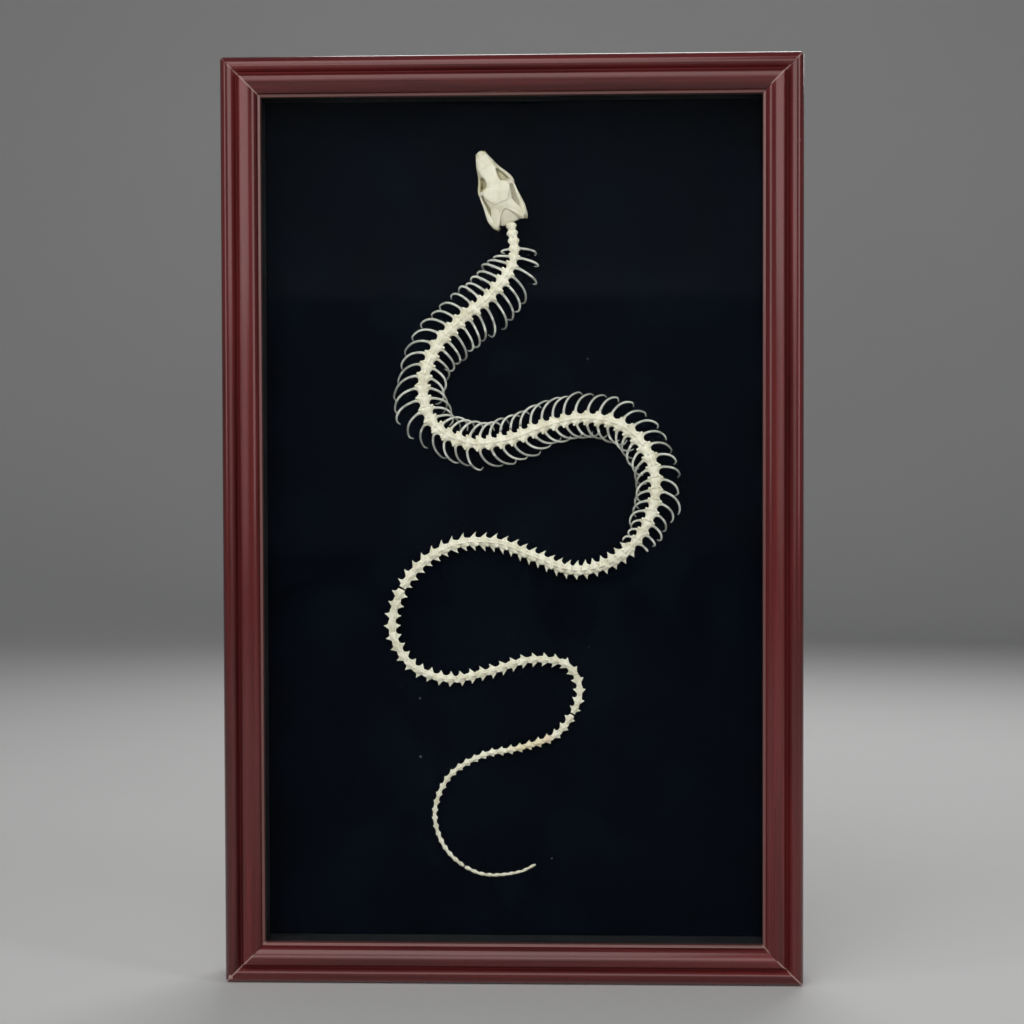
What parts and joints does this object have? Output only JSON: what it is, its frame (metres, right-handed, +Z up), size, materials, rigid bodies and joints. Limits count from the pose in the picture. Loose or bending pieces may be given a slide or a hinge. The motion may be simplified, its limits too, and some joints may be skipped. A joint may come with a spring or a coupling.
{
  "type": "framed legless lizard skeleton",
  "caption": "Legless lizard skeleton laid in S-bends on black velvet inside a glazed, mahogany-stained wooden wall case with a sawtooth hanger.",
  "frame": {"origin": "on the wall, at the middle of the flat rear face of the sawtooth hanger on the back of the top rail", "axes": "+X to the right seen from the front, +Y from the case into the wall, +Z up"},
  "size_m": [0.232, 0.033, 0.371],
  "materials": {
    "bone": "dry cream bone, matt to faintly waxy, whiter on the ribs",
    "mahogany": "dark red-brown stain under a gloss lacquer, fine lengthwise grain",
    "case_glass": "clear flat picture glass",
    "velvet": "near-black velvet with a blue cast, short pile",
    "black_card": "matt black card",
    "backing": "smooth brown hardboard",
    "steel": "bright zinc plate",
    "bumper": "soft matt black rubber"
  },
  "bodies": {
    "root": {"skull": "bone", "lower_jaw": "bone", "neck": "bone", "trunk_front_left": "bone", "trunk_front_right": "bone", "trunk_middle_left": "bone", "trunk_middle_right": "bone", "trunk_rear_left": "bone", "trunk_rear_right": "bone", "tail_base": "bone", "tail_front": "bone", "tail_middle": "bone", "tail_rear": "bone", "tail_tip": "bone", "rail_top": "mahogany", "rail_right": "mahogany", "rail_bottom": "mahogany", "rail_left": "mahogany", "glass": "case_glass", "velvet_board": "velvet", "wall_left": "black_card", "wall_right": "black_card", "wall_bottom": "black_card", "wall_top": "black_card", "back_board": "backing", "wall_hanger": "steel", "bumper_left": "bumper", "bumper_right": "bumper", "tab_left_1": "steel", "tab_right_1": "steel", "tab_left_2": "steel", "tab_right_2": "steel", "tab_left_3": "steel", "tab_right_3": "steel"}
  },
  "joints": []
}
